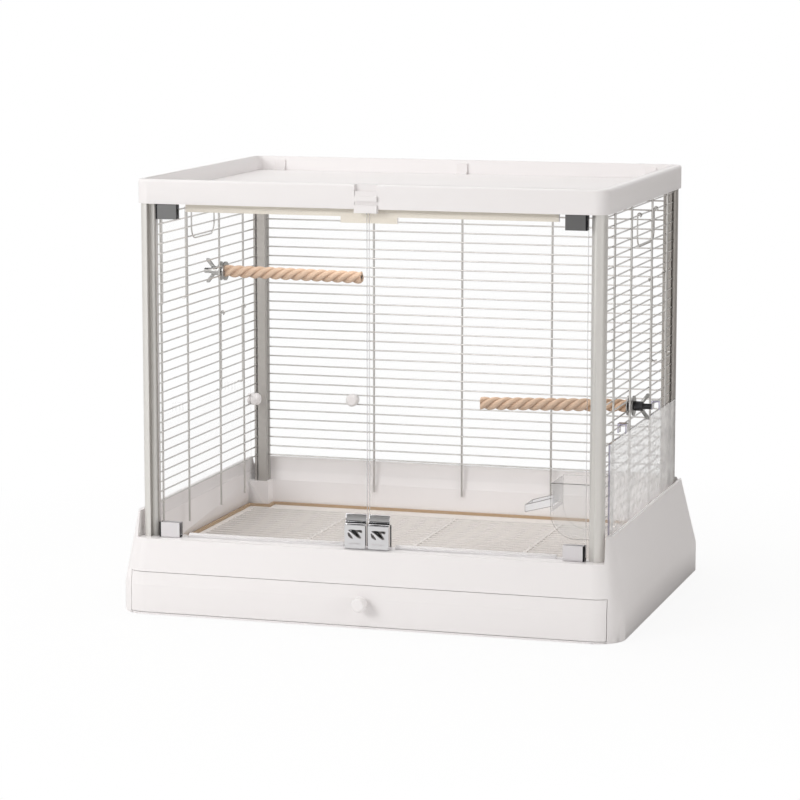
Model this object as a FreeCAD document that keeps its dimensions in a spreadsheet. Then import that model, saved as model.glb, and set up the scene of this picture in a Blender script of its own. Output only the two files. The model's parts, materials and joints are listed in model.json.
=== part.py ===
"""Bird cage with clear double doors, wire walls, a drawer base and two rope perches.

Millimetres, +Z up, +X to the right and -Y to the front; the origin is under the middle of the base.
"""
import FreeCAD, Part
import math
import os
import Sketcher

Vector = FreeCAD.Vector

# Driving dimensions in millimetres, apart from shares of a whole, counts of rows and degrees.
DRIVING = {
    # roof frame, the rim that ties the four posts together
    "roof_width": 500, "roof_depth": 370, "roof_height": 25, "roof_corner": 15, "rim_width": 9,
    "roof_ledge": 7, "ledge_height": 6, "roof_panel_thickness": 3.5, "rim_rounding": 2.5,
    # header strip behind the door heads, with a deeper stop plate at the middle
    "header_inset": 34, "header_drop": 8.5, "header_thickness": 4, "stop_width": 60, "stop_drop": 15,
    # corner posts, extruded with a rounded outer corner, wire slots and a bore for peg and screw
    "post_height": 349.5, "post_side": 15, "post_inset": 3.5, "post_rounding": 8, "post_rear_rounding": 4,
    "rabbet_width": 6, "rabbet_depth": 6, "bore_inset": 5.5, "bore_setback": 7.5, "slot_width": 2.2,
    "slot_depth": 4, "screw_bore": 4.2, "screw_shank": 4, "screw_length": 22, "screw_head": 8,
    "screw_head_height": 2.6, "peg_length": 12,
    # base shell with its skirt, flared sides, collar and front sill
    "collar_overhang": 5, "collar_lead": 2, "collar_wall": 3, "collar_corner": 20, "collar_rise": 26.5,
    "side_flare": 14, "front_flare": 13, "back_flare": 28, "base_corner": 30, "skirt_height": 31,
    "sill_rise": 32, "seat_margin": 1,
    "wall_step": 1.5, "step_rise": 10, "floor_ledge": 6, "ledge_thickness": 2, "shell_wall": 4,
    "lip_height": 4.5, "lip_thickness": 4, "lip_break": 56,
    # drawer below the floor, with its turned knob
    "drawer_height": 43, "drawer_bottom": 2, "drawer_gap": 0.6, "drawer_wall": 2,
    "drawer_front_thickness": 9, "tray_play": 2, "tray_height": 34, "tray_gap": 25,
    "knob_rise": 25, "knob_radius": 7.5, "knob_neck": 4, "knob_length": 15, "knob_foot": 4,
    "knob_screw_radius": 1.6, "knob_screw_reach": 10, "knob_screw_head": 3.6, "knob_head_height": 2,
    # floor grate and the tan edging round it
    "grate_thickness": 3, "grate_bar": 3, "grate_pitch": 12, "grate_columns": 4, "edging_width": 3,
    "edging_height": 6,
    # wire walls: thick uprights outside, thin rails inside, rows counted up from the lowest rail
    "upright_diameter": 2.4, "rail_diameter": 1.6, "wall_inset": 6, "rail_rise": 3.5, "top_rail_gap": 4.5,
    "rail_rows": 31, "upright_dip": 8, "bay_end": 39, "back_wall_inset": 8, "bay_width": 77.5,
    "back_spread_share": 0.45, "wire_sides_count": 8,
    # hinged wire flaps and swinging hangers on the side walls
    "ring_play": 0.4, "ring_open_degrees": 250, "curl_end_degrees": 330, "flap_margin": 4, "curl_radius": 3,
    "left_front_low_rows": 21, "left_front_hinge_rows": 29, "left_rear_low_rows": 10,
    "left_rear_hinge_rows": 17, "right_rear_low_rows": 15, "right_rear_hinge_rows": 22,
    "hanger_rows": 29, "hanger_drop": 34, "hanger_bend": 12, "left_hanger_start": 46,
    "left_hanger_width": 70, "right_hanger_start": 4, "right_hanger_width": 82,
    # clear doors, their pivot clips and chrome pulls
    "door_thickness": 4, "door_recess": 2.5, "door_lift": 3, "door_drop": 4.5, "door_post_gap": 3,
    "door_gap": 2.4, "door_corner": 2, "clip_width": 22.5, "clip_post_gap": 3.5, "clip_height": 15.5,
    "clip_plate": 2.4, "clip_gap": 0.5, "pane_play": 0.05, "pin_radius": 2, "pin_reach": 5,
    "pin_play": 0.05, "pin_from_edge": 9, "set_screw_radius": 1.5,
    "pull_width": 22.5, "pull_height": 35.5, "pull_depth": 7.5, "pull_back_rise": 6, "pull_lip": 4,
    "pull_rounding": 2, "boss_margin": 3.5, "boss_depth": 2, "boss_corner": 3,
    # slide latch over the doors' meeting edges
    "latch_width": 24, "latch_channel_depth": 4, "latch_plate": 3, "latch_plate_height": 22,
    "latch_block": 8, "latch_block_depth": 6, "latch_thumb": 5, "latch_thumb_depth": 3,
    "latch_play": 0.3, "latch_lift": 0.6,
    # rope perches on threaded rods with washers and wing nuts
    "rope_diameter": 13.8, "rope_length": 158, "rod_diameter": 5.9, "rod_tail": 18, "rod_bite": 30,
    "washer_diameter": 21, "washer_thickness": 1.5, "nut_bore_play": 0.1, "nut_hub": 10, "nut_length": 9,
    "wing_span": 27, "wing_thickness": 2.2, "wing_rise": 7, "wing_lean": 4,
    "left_perch_rows": 21, "left_perch_share": 0.39, "left_perch_offset": 10.4, "right_perch_rows": 10,
    "right_perch_share": 0.39, "right_perch_offset": 10, "mid_row_share": 0.5,
    # clear splash guards hung outside the side walls
    "guard_thickness": 2, "guard_gap": 0.6, "guard_end_gap": 5, "guard_dip": 13.5, "guard_hook_rise": 6.5,
    "guard_hook_width": 10, "guard_hook_spread": 82, "guard_hook_rows": 9, "hook_thickness": 1.6,
    "hook_drop": 8,
    # clear seed cup hung inside the right wall
    "cup_hang": 7.5, "cup_height": 57, "cup_upper": 26, "cup_reach": 54, "cup_bend": 26,
    "cup_post_gap": 8, "cup_length": 54, "cup_wall": 1.8, "cup_lip_reach": 30, "cup_lip_width": 30,
    "cup_lip_drop": 8, "cup_lip_height": 9, "cup_hook_rows": 5, "cup_hook_inset": 10, "cup_hook_width": 7,
    # white press knobs that plug the wire walls
    "plug_radius": 7, "plug_length": 9, "plug_neck": 2.5, "plug_rows": 6, "plug_post_gap": 18,
    "plug_bay": 24, "plug_cap_radius": 6, "plug_cap": 3, "plug_crown_share": 0.7,
    # snap clips that hold the roof panel down
    "snap_width": 12, "snap_thickness": 2.5, "snap_reach": 5, "snap_height": 12, "snap_inset": 35,
    # clearances and the overrun of every cut
    "small_gap": 0.3, "overrun": 5,
}

doc = FreeCAD.newDocument("bird_cage")
sheet = doc.addObject("Spreadsheet::Sheet", "Sizes")
for row, (alias, amount) in enumerate(DRIVING.items(), start=1):
    sheet.set(f"A{row}", alias)
    sheet.set(f"B{row}", str(amount))
    sheet.setAlias(f"B{row}", alias)
doc.recompute()


class Size:
    """A length that knows its value and the formula by which the sheet works it out."""

    def __init__(self, value, formula):
        self.value = float(value)
        self.formula = formula

    @staticmethod
    def of(other):
        return other if isinstance(other, Size) else Size(other, repr(float(other)))

    def join(self, other, value, sign):
        return Size(value, f"({self.formula} {sign} {other.formula})")

    def __add__(self, other):
        other = Size.of(other)
        return self.join(other, self.value + other.value, "+")

    def __radd__(self, other):
        return Size.of(other) + self

    def __sub__(self, other):
        other = Size.of(other)
        return self.join(other, self.value - other.value, "-")

    def __rsub__(self, other):
        return Size.of(other) - self

    def __mul__(self, other):
        other = Size.of(other)
        return self.join(other, self.value * other.value, "*")

    def __rmul__(self, other):
        return Size.of(other) * self

    def __truediv__(self, other):
        other = Size.of(other)
        return self.join(other, self.value / other.value, "/")

    def __neg__(self):
        return Size(-self.value, f"(-1 * {self.formula})")

    def __float__(self):
        return self.value


class Sizes:
    """The sheet's cells by name."""

    def __getattr__(self, name):
        return Size(sheet.get(name), f"Sizes.{name}")


S = Sizes()
ZERO = Size(0, "0")
parts = []


def bind(thing, **formulas):
    """Tie properties of an object to formulas of the sheet."""
    for prop, amount in formulas.items():
        thing.setExpression(prop.replace("__", "."), Size.of(amount).formula)


def place(thing, x=ZERO, y=ZERO, z=ZERO):
    bind(thing, Placement__Base__x=x, Placement__Base__y=y, Placement__Base__z=z)


def keep(thing, label):
    """List an object as a sub-part under its own name."""
    thing.Label = label
    parts.append(thing)
    return thing


def box(name, x0, x1, y0, y1, z0, z1):
    """A block between two corners."""
    block = doc.addObject("Part::Box", name)
    bind(block, Length=Size.of(x1) - x0, Width=Size.of(y1) - y0, Height=Size.of(z1) - z0)
    place(block, x0, y0, z0)
    return block


TURNS = {"x": FreeCAD.Rotation(Vector(0, 1, 0), 90), "y": FreeCAD.Rotation(Vector(1, 0, 0), -90),
         "z": FreeCAD.Rotation()}


def rod(name, radius, axis, length, x, y, z):
    """A round bar that starts at a point and runs along +X, +Y or +Z."""
    bar = doc.addObject("Part::Cylinder", name)
    bind(bar, Radius=radius, Height=length)
    bar.Placement = FreeCAD.Placement(Vector(), TURNS[axis])
    place(bar, x, y, z)
    return bar


def fuse(name, *pieces):
    joined = doc.addObject("Part::MultiFuse", name)
    joined.Shapes = list(pieces)
    joined.Refine = True
    return joined


def cut(name, base, *tools):
    """Take tools away from a base."""
    trimmed = doc.addObject("Part::Cut", name)
    trimmed.Base = base
    trimmed.Tool = tools[0] if len(tools) == 1 else fuse(f"{name}_tools", *tools)
    trimmed.Refine = True
    return trimmed


def group(label, solids):
    """A sub-part of several separate solids worked out from the sheet's values."""
    feature = doc.addObject("Part::Feature", label)
    feature.Shape = solids[0] if len(solids) == 1 else Part.makeCompound(solids)
    return keep(feature, label)


def new_body(label):
    body = doc.addObject("PartDesign::Body", label)
    return keep(body, label)


def plane_of(body, plane):
    return next(item for item in body.Origin.OriginFeatures if item.Role == f"{plane}_Plane")


def outline(body, name, plane, offset, corners):
    """A closed sketch through corners (x, y, radius), square to the axes where a corner is rounded."""
    sketch = body.newObject("Sketcher::SketchObject", name)
    sketch.AttachmentSupport = [(plane_of(body, plane), "")]
    sketch.MapMode = "FlatFace"
    bind(sketch, AttachmentOffset__Base__z=offset)
    count = len(corners)
    ends = []
    for index, (x, y, radius) in enumerate(corners):
        before = corners[index - 1]
        after = corners[(index + 1) % count]
        legs = []
        for other in (before, after):
            run = Vector(float(other[0]) - float(x), float(other[1]) - float(y), 0).normalize()
            legs.append((x + radius * round(run.x), y + radius * round(run.y)) if float(radius) else (x, y))
        ends.append(legs)
    for index in range(count):
        start = ends[index][1]
        finish = ends[(index + 1) % count][0]
        line = sketch.addGeometry(Part.LineSegment(Vector(float(start[0]), float(start[1]), 0),
                                                   Vector(float(finish[0]), float(finish[1]), 0)))
        for point, spot in ((1, start), (2, finish)):
            if point == 2 and not float(corners[(index + 1) % count][2]):
                continue
            fix(sketch, line, point, spot)
    for index, (x, y, radius) in enumerate(corners):
        earlier = (index - 1) % count
        if not float(radius):
            sketch.addConstraint(Sketcher.Constraint("Coincident", earlier, 2, index, 1))
            continue
        first, last = [Vector(float(spot[0]), float(spot[1]), 0) for spot in ends[index]]
        corner = Vector(float(x), float(y), 0)
        centre = first + last - corner
        middle = centre + (corner - centre).normalize() * float(radius)
        arc = sketch.addGeometry(Part.Arc(first, middle, last))
        round_start = sketch.Geometry[arc].StartPoint
        order = (1, 2) if round_start.isEqual(first, 1e-6) else (2, 1)
        sketch.addConstraint(Sketcher.Constraint("Coincident", earlier, 2, arc, order[0]))
        sketch.addConstraint(Sketcher.Constraint("Coincident", arc, order[1], index, 1))
        held = sketch.addConstraint(Sketcher.Constraint("Radius", arc, float(radius)))
        sketch.setExpression(f"Constraints[{held}]", radius.formula)
    return sketch


def fix(sketch, line, point, spot):
    """Hold one end of a line at a place worked out by the sheet."""
    for kind, amount, axis in (("DistanceX", spot[0], -2), ("DistanceY", spot[1], -1)):
        amount = Size.of(amount)
        if amount.formula == ZERO.formula:
            sketch.addConstraint(Sketcher.Constraint("PointOnObject", line, point, axis))
            continue
        held = sketch.addConstraint(Sketcher.Constraint(kind, -1, 1, line, point, amount.value))
        sketch.setExpression(f"Constraints[{held}]", amount.formula)


def rectangle(x0, x1, y0, y1, radius=ZERO):
    return [(x0, y0, radius), (x1, y0, radius), (x1, y1, radius), (x0, y1, radius)]


def add(body, kind, name, plane, offset, corners, length):
    """Pad an outline along its plane's normal, or pocket it the other way."""
    sketch = outline(body, f"{name}_outline", plane, offset, corners)
    feature = body.newObject(f"PartDesign::{kind}", name)
    feature.Profile = sketch
    bind(feature, Length=length)
    doc.recompute()
    return feature


def drill(body, name, plane, offset, spots, radius, depth, kind="Pocket"):
    """Pocket round holes at given places, or pad round pegs."""
    sketch = body.newObject("Sketcher::SketchObject", f"{name}_circles")
    sketch.AttachmentSupport = [(plane_of(body, plane), "")]
    sketch.MapMode = "FlatFace"
    bind(sketch, AttachmentOffset__Base__z=offset)
    for x, y in spots:
        ring = sketch.addGeometry(Part.Circle(Vector(float(x), float(y), 0), Vector(0, 0, 1), float(radius)))
        fix(sketch, ring, 3, (x, y))
        held = sketch.addConstraint(Sketcher.Constraint("Radius", ring, float(radius)))
        sketch.setExpression(f"Constraints[{held}]", Size.of(radius).formula)
    feature = body.newObject(f"PartDesign::{kind}", name)
    feature.Profile = sketch
    bind(feature, Length=depth)
    doc.recompute()
    return feature


def rounded(body, name, base, radius, wanted):
    """Fillet the edges of a feature whose middle point passes a test."""
    edges = []
    for index, edge in enumerate(base.Shape.Edges, start=1):
        middle = edge.valueAt((edge.FirstParameter + edge.LastParameter) / 2)
        if wanted(middle, edge):
            edges.append(f"Edge{index}")
    feature = body.newObject("PartDesign::Fillet", name)
    feature.Base = (base, edges)
    bind(feature, Radius=radius)
    doc.recompute()
    return feature


# Places that several pieces share, worked out from the roof and the drawer outwards.
half_roof = S.roof_width / 2
half_depth = S.roof_depth / 2
post_outer = half_roof - S.post_inset
post_inner = post_outer - S.post_side
post_front = half_depth - S.post_inset
post_rear = post_front - S.post_side
bore_x = post_outer - S.bore_inset
bore_y = post_front - S.bore_setback
seat_inner = post_inner - S.post_inset
seat_rear = post_rear - S.post_inset
collar_width = S.roof_width + 2 * S.collar_overhang
collar_front = half_depth + S.collar_lead
collar_back = collar_front
base_width = collar_width + 2 * S.side_flare
base_front = collar_front + S.front_flare
base_back = collar_back + S.back_flare
half_cabin = collar_width / 2 - S.collar_wall
cabin_front = post_rear - S.seat_margin
cabin_back = half_depth - S.collar_lead
floor_back = cabin_back - 2 * S.wall_step
floor_level = S.drawer_bottom + S.drawer_height + S.ledge_thickness
sill_height = floor_level + S.sill_rise
step_height = sill_height + S.step_rise
collar_height = sill_height + S.collar_rise
roof_bottom = sill_height + S.post_height
roof_top = roof_bottom + S.roof_height
drawer_width = collar_width
tray_width = drawer_width - 2 * S.tray_play
tray_back = base_back - S.tray_gap
knob_height = S.drawer_bottom + S.knob_rise
header_width = 2 * (post_inner - S.header_inset)
upright_radius = S.upright_diameter / 2
rail_radius = S.rail_diameter / 2
ring_radius = rail_radius * 2 + S.ring_play
upright_wall = half_roof - S.wall_inset
rail_wall = upright_wall - upright_radius - rail_radius
upright_back = half_depth - S.back_wall_inset
rail_back = upright_back - upright_radius - rail_radius
upright_bottom = sill_height - S.upright_dip
rail_start = collar_height + S.rail_rise
rail_pitch = (roof_bottom - S.top_rail_gap - rail_start) / (S.rail_rows - 1)
side_outer = post_rear - S.bay_end
side_inner = side_outer - S.bay_width
back_spread = post_inner * S.back_spread_share
door_front = post_front - S.door_recess
door_rear = door_front - S.door_thickness
door_middle = (door_front + door_rear) / 2
door_bottom = sill_height + S.door_lift
door_top = roof_bottom - S.door_drop
door_outer = post_inner - S.door_post_gap
clip_outer = post_inner - S.clip_post_gap
pivot = door_outer - S.pin_from_edge


def rail_height(row):
    return rail_start + rail_pitch * row


def notched(half_width, front, back, corner_x, corner_y):
    """A rectangle whose four corners are cut square to leave seats for the posts."""
    return [(-half_width, -corner_y, ZERO), (-corner_x, -corner_y, ZERO), (-corner_x, -front, ZERO),
            (corner_x, -front, ZERO), (corner_x, -corner_y, ZERO), (half_width, -corner_y, ZERO),
            (half_width, corner_y, ZERO), (corner_x, corner_y, ZERO), (corner_x, back, ZERO),
            (-corner_x, back, ZERO), (-corner_x, corner_y, ZERO), (-half_width, corner_y, ZERO)]


def turned(label, profile):
    """A body of revolution about its own Z axis, from (radius, height) points that start on the axis."""
    body = new_body(label)
    sketch = outline(body, f"{label}_profile", "XZ", ZERO, [(r, z, ZERO) for r, z in profile])
    feature = body.newObject("PartDesign::Revolution", f"{label}_turn")
    feature.Profile = sketch
    feature.ReferenceAxis = (sketch, ["V_Axis"])
    feature.Angle = 360
    doc.recompute()
    return body


def lay(thing, axis, x, y, z):
    """Turn an upright piece so that its +Z points along an axis, and put it in place."""
    thing.Placement = FreeCAD.Placement(Vector(), FreeCAD.Rotation(Vector(0, 0, 1), Vector(*axis)))
    place(thing, x, y, z)


def tube(label, radius, bore, axis, length, x, y, z):
    """A washer or sleeve along an axis."""
    outer = rod(f"{label}_outer", radius, axis, length, x, y, z)
    inner = rod(f"{label}_bore", bore, axis, length, x, y, z)
    return keep(cut(label, outer, inner), label)


def base_form(body):
    """The base's outer form: a straight skirt and flared sides up to the collar."""
    bottom = rectangle(-base_width / 2, base_width / 2, -base_front, base_back, S.base_corner)
    top = rectangle(-collar_width / 2, collar_width / 2, -collar_front, collar_back, S.collar_corner)
    add(body, "Pad", f"{body.Name}_skirt", "XY", ZERO, bottom, S.skirt_height)
    lower = outline(body, f"{body.Name}_lower", "XY", S.skirt_height, bottom)
    upper = outline(body, f"{body.Name}_upper", "XY", collar_height, top)
    flare = body.newObject("PartDesign::AdditiveLoft", f"{body.Name}_flare")
    flare.Profile = lower
    flare.Sections = [upper]
    flare.Ruled = True
    doc.recompute()


def floor_outline(inset):
    """The cabin floor, drawn in from its walls and from the two rear post seats."""
    wide = half_cabin - inset
    back = floor_back - inset
    seat_x = seat_inner - inset
    seat_y = seat_rear - inset
    front = cabin_front - inset
    return [(-wide, -front), (wide, -front), (wide, seat_y), (seat_x, seat_y), (seat_x, back), (-seat_x, back),
            (-seat_x, seat_y), (-wide, seat_y)]


def make_base():
    """White moulded base: flared tub with a collar, a low front sill, post seats and a drawer bay."""
    body = new_body("base_shell")
    base_form(body)
    high = collar_height + S.overrun
    front_cut = rectangle(-half_roof, half_roof, -base_front - S.overrun, -cabin_front)
    add(body, "Pocket", "front_opening", "XY", high, front_cut, high - sill_height)
    add(body, "Pocket", "collar_room", "XY", high,
        rectangle(-half_cabin, half_cabin, -cabin_front, cabin_back), high - step_height)
    step_end = post_inner - S.small_gap
    step_back = cabin_back - S.wall_step
    step_corners = [(-half_cabin, -cabin_front), (half_cabin, -cabin_front), (half_cabin, cabin_back),
                    (step_end, cabin_back), (step_end, step_back), (-step_end, step_back),
                    (-step_end, cabin_back), (-half_cabin, cabin_back)]
    add(body, "Pocket", "step_room", "XY", step_height, [(x, y, ZERO) for x, y in step_corners],
        step_height - sill_height)
    add(body, "Pocket", "floor_room", "XY", sill_height, [(x, y, ZERO) for x, y in floor_outline(ZERO)],
        sill_height - floor_level)
    add(body, "Pocket", "floor_hole", "XY", floor_level, [(x, y, ZERO) for x, y in floor_outline(ZERO)], S.overrun)
    bay_top = S.drawer_bottom + S.drawer_height
    bay = rectangle(-drawer_width / 2, drawer_width / 2, S.drawer_bottom, bay_top)
    add(body, "Pocket", "drawer_bay", "XZ", base_front + S.overrun, bay,
        base_front + S.overrun + tray_back + S.drawer_wall)
    half_skirt = base_width / 2 - S.shell_wall
    add(body, "Pocket", "skirt_hollow", "XY", bay_top,
        rectangle(-half_skirt, half_skirt, S.drawer_front_thickness + S.shell_wall - base_front,
                  base_back - S.shell_wall, S.base_corner - S.shell_wall), S.drawer_height)
    ceiling = sill_height - S.shell_wall
    add(body, "Pocket", "sill_hollow", "XY", ceiling,
        rectangle(-post_inner, post_inner, -collar_front + S.shell_wall, -cabin_front - S.shell_wall),
        ceiling - S.drawer_bottom)
    for side in (-1, 1):
        ends = sorted((side * S.lip_break / 2, side * header_width / 2), key=float)
        add(body, "Pad", f"sill_lip_{'right' if side > 0 else 'left'}", "XY", sill_height,
            rectangle(ends[0], ends[1], S.small_gap - door_rear, S.small_gap - door_rear + S.lip_thickness),
            S.lip_height)
    pin_spots = [(side * pivot, -door_middle) for side in (-1, 1)]
    drill(body, "pivot_holes", "XY", sill_height, pin_spots, S.pin_radius + S.pin_play, S.shell_wall + S.overrun)
    spots = [(sx * bore_x, sy * bore_y) for sx in (-1, 1) for sy in (-1, 1)]
    drill(body, "screw_holes", "XY", sill_height, spots, S.screw_bore / 2, S.shell_wall + S.overrun)
    drill(body, "screw_wells", "XY", ceiling, spots, S.screw_head / 2 + S.small_gap, ceiling - S.drawer_bottom)


def make_roof():
    """White roof rim with a ledge for the panel, pegs for the posts, a door header and a latch channel."""
    body = new_body("roof_frame")
    ring = add(body, "Pad", "rim", "XY", roof_bottom,
               rectangle(-half_roof, half_roof, -half_depth, half_depth, S.roof_corner), S.roof_height)
    rounded(body, "rim_edge", ring, S.rim_rounding,
            lambda middle, edge: abs(middle.z - float(roof_top)) < float(S.small_gap))
    ledge = roof_bottom + S.ledge_height
    recess_x = half_roof - S.rim_width
    recess_y = half_depth - S.rim_width
    add(body, "Pocket", "recess", "XY", roof_top + S.overrun,
        rectangle(-recess_x, recess_x, -recess_y, recess_y, S.roof_corner - S.rim_width), roof_top + S.overrun - ledge)
    hole_x = recess_x - S.roof_ledge
    hole_y = recess_y - S.roof_ledge
    add(body, "Pocket", "roof_hole", "XY", ledge,
        notched(hole_x, hole_y, hole_y, seat_inner, seat_rear), S.ledge_height + S.overrun)
    header = header_width / 2
    stop = S.stop_width / 2
    header_foot = roof_bottom - S.header_drop
    stop_foot = roof_bottom - S.stop_drop
    add(body, "Pad", "header", "XZ", door_rear - S.small_gap - S.header_thickness,
        [(-header, header_foot, ZERO), (-stop, header_foot, ZERO), (-stop, stop_foot, ZERO), (stop, stop_foot, ZERO),
         (stop, header_foot, ZERO), (header, header_foot, ZERO), (header, ledge, ZERO), (-header, ledge, ZERO)],
        S.header_thickness)
    channel = S.latch_width / 2 + S.latch_play
    add(body, "Pocket", "latch_channel", "XY", roof_top + S.overrun,
        rectangle(-channel, channel, -half_depth - S.overrun, S.latch_channel_depth - half_depth),
        S.roof_height + 2 * S.overrun)
    pin_spots = [(side * pivot, -door_middle) for side in (-1, 1)]
    drill(body, "pivot_sockets", "XY", roof_bottom + S.pin_reach + S.small_gap, pin_spots,
          S.pin_radius + S.pin_play, S.pin_reach + S.overrun)
    spots = [(sx * bore_x, sy * bore_y) for sx in (-1, 1) for sy in (-1, 1)]
    drill(body, "post_pegs", "XY", roof_bottom - S.peg_length, spots, S.screw_shank / 2, S.peg_length, "Pad")

    panel = new_body("roof_panel")
    add(panel, "Pad", "sheet", "XY", ledge,
        rectangle(S.small_gap - recess_x, recess_x - S.small_gap, S.small_gap - recess_y, recess_y - S.small_gap,
                  S.roof_corner - S.rim_width), S.roof_panel_thickness)
    panel_top = ledge + S.roof_panel_thickness
    clips = []
    for side in (-1, 1):
        for share in (-1, 0, 1):
            middle = share * (half_roof - S.snap_inset)
            name = f"snap_{len(clips)}"
            faces = [sorted((side * recess_y, side * (recess_y - depth)), key=float)
                     for depth in (S.snap_thickness, S.snap_reach)]
            x0 = middle - S.snap_width / 2
            x1 = middle + S.snap_width / 2
            back = box(f"{name}_back", x0, x1, *faces[0], panel_top, panel_top + S.snap_height)
            foot = box(f"{name}_foot", x0, x1, *faces[1], panel_top, panel_top + S.snap_thickness)
            clips.append(fuse(name, back, foot))
    bundle(clips, "roof_snap_clips")


def bundle(pieces, label):
    """Several like pieces under one name."""
    holder = doc.addObject("Part::Compound", label)
    holder.Links = pieces
    return keep(holder, label)


def side_word(side):
    return "right" if side > 0 else "left"


def make_posts():
    """Aluminium corner posts: rounded outside, slotted for rails, bored for screws, rabbeted for the doors."""
    screws = []
    for sy in (-1, 1):
        for sx in (-1, 1):
            label = f"{'rear' if sy > 0 else 'front'}_{side_word(sx)}_post"
            body = new_body(label)
            xs = sorted((sx * post_inner, sx * post_outer), key=float)
            ys = sorted((sy * post_rear, sy * post_front), key=float)
            corners = []
            for x, y in ((xs[0], ys[0]), (xs[1], ys[0]), (xs[1], ys[1]), (xs[0], ys[1])):
                outside = float(x) * sx > float(bore_x)
                turned_out = float(y) * sy > float(bore_y)
                corners.append((x, y, (S.post_rounding if turned_out else S.post_rear_rounding) if outside else ZERO))
            add(body, "Pad", f"{label}_bar", "XY", sill_height, corners, roof_bottom - sill_height)
            if sy < 0:
                rabbet_xs = sorted((sx * (post_inner - S.overrun), sx * (post_inner + S.rabbet_width)), key=float)
                rabbet = rectangle(*rabbet_xs, -post_front - S.overrun, S.rabbet_depth - post_front)
                add(body, "Pocket", f"{label}_rabbet", "XY", roof_bottom, rabbet, roof_bottom - sill_height)
            half_slot = S.slot_width / 2
            slot_ys = sorted((sy * (post_rear - S.overrun), sy * (post_rear + S.slot_depth)), key=float)
            side_slot = rectangle(sx * rail_wall - half_slot, sx * rail_wall + half_slot, *slot_ys)
            add(body, "Pocket", f"{label}_side_slot", "XY", roof_bottom, side_slot, roof_bottom - sill_height)
            if sy > 0:
                slot_xs = sorted((sx * (post_inner - S.overrun), sx * (post_inner + S.slot_depth)), key=float)
                back_slot = rectangle(*slot_xs, rail_back - half_slot, rail_back + half_slot)
                add(body, "Pocket", f"{label}_back_slot", "XY", roof_bottom, back_slot, roof_bottom - sill_height)
            drill(body, f"{label}_bore", "XY", roof_bottom, [(sx * bore_x, sy * bore_y)],
                  S.screw_bore / 2, roof_bottom - sill_height)
            head_top = sill_height - S.shell_wall
            head = rod(f"{label}_screw_head", S.screw_head / 2, "z", S.screw_head_height, sx * bore_x,
                       sy * bore_y, head_top - S.screw_head_height)
            shank = rod(f"{label}_screw_shank", S.screw_shank / 2, "z", S.screw_length, sx * bore_x,
                        sy * bore_y, head_top)
            screws.append(fuse(f"{label}_screw", head, shank))
    bundle(screws, "post_screws")


def wire_section(radius, spot, run):
    """A wire's outline across its run, with few sides, because the walls hold so many wires."""
    across = run.cross(Vector(1, 1, 1)).normalize() * float(radius)
    count = int(float(S.wire_sides_count))
    turn = FreeCAD.Rotation(run, 360 / count)
    corners = []
    for _ in range(count):
        corners.append(spot + across)
        across = turn.multVec(across)
    return Part.makePolygon(corners + corners[:1])


def bar(radius, start, finish):
    """A straight wire between two points."""
    run = finish - start
    return Part.Face(wire_section(radius, start, run)).extrude(run)


FLAPS = {
    # name: side, the uprights it hangs between, the lowest rail it covers and its hinge rail
    "left_front_flap": (-1, -side_outer, -side_inner, S.left_front_low_rows, S.left_front_hinge_rows),
    "left_rear_flap": (-1, side_inner, side_outer, S.left_rear_low_rows, S.left_rear_hinge_rows),
    "right_rear_flap": (1, side_inner, side_outer, S.right_rear_low_rows, S.right_rear_hinge_rows),
}


def make_wire_walls():
    """Welded wire walls: rails lie against the inner side of the uprights and end in the posts' slots."""
    top = float(roof_bottom - S.small_gap)
    foot = float(upright_bottom)
    rows = range(int(float(S.rail_rows)))
    reach = float(post_rear + S.slot_depth - S.small_gap)
    for side in (-1, 1):
        wires = []
        for y in (-side_outer, -side_inner, side_inner, side_outer):
            x = side * float(upright_wall)
            wires.append(bar(upright_radius, Vector(x, float(y), foot), Vector(x, float(y), top)))
        gaps = [flap for flap in FLAPS.values() if flap[0] == side]
        for row in rows:
            stops = [-reach, reach]
            for _, near, far, low, hinge in gaps:
                if float(low) <= row < float(hinge):
                    stops += [float(near), float(far)]
            stops.sort()
            x = side * float(rail_wall)
            z = float(rail_height(row))
            for start, finish in zip(stops[::2], stops[1::2]):
                wires.append(bar(rail_radius, Vector(x, start, z), Vector(x, finish, z)))
        group(f"{side_word(side)}_wire_wall", wires)
    wires = []
    for share in (-1, 0, 1):
        x = share * float(back_spread)
        y = float(upright_back)
        wires.append(bar(upright_radius, Vector(x, y, foot), Vector(x, y, top)))
    reach = float(post_inner + S.slot_depth - S.small_gap)
    for row in rows:
        z = float(rail_height(row))
        wires.append(bar(rail_radius, Vector(-reach, float(rail_back), z), Vector(reach, float(rail_back), z)))
    group("back_wire_wall", wires)


def bent_wire(radius, edges):
    """A wire swept along tangent runs and arcs."""
    path = Part.Wire(edges)
    start = path.Edges[0].valueAt(path.Edges[0].FirstParameter)
    tangent = path.Edges[0].tangentAt(path.Edges[0].FirstParameter)
    return path.makePipeShell([wire_section(radius, start, tangent)], True, False)


def ring_arc(centre, radius, side, first, last):
    """An arc in the XZ plane by angles in degrees, mirrored for the left wall."""
    spots = []
    for share in (0, 0.5, 1):
        angle = math.radians(first + (last - first) * share)
        spots.append(centre + Vector(side * radius * math.cos(angle), 0, radius * math.sin(angle)))
    return Part.Arc(*spots).toShape()


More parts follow.
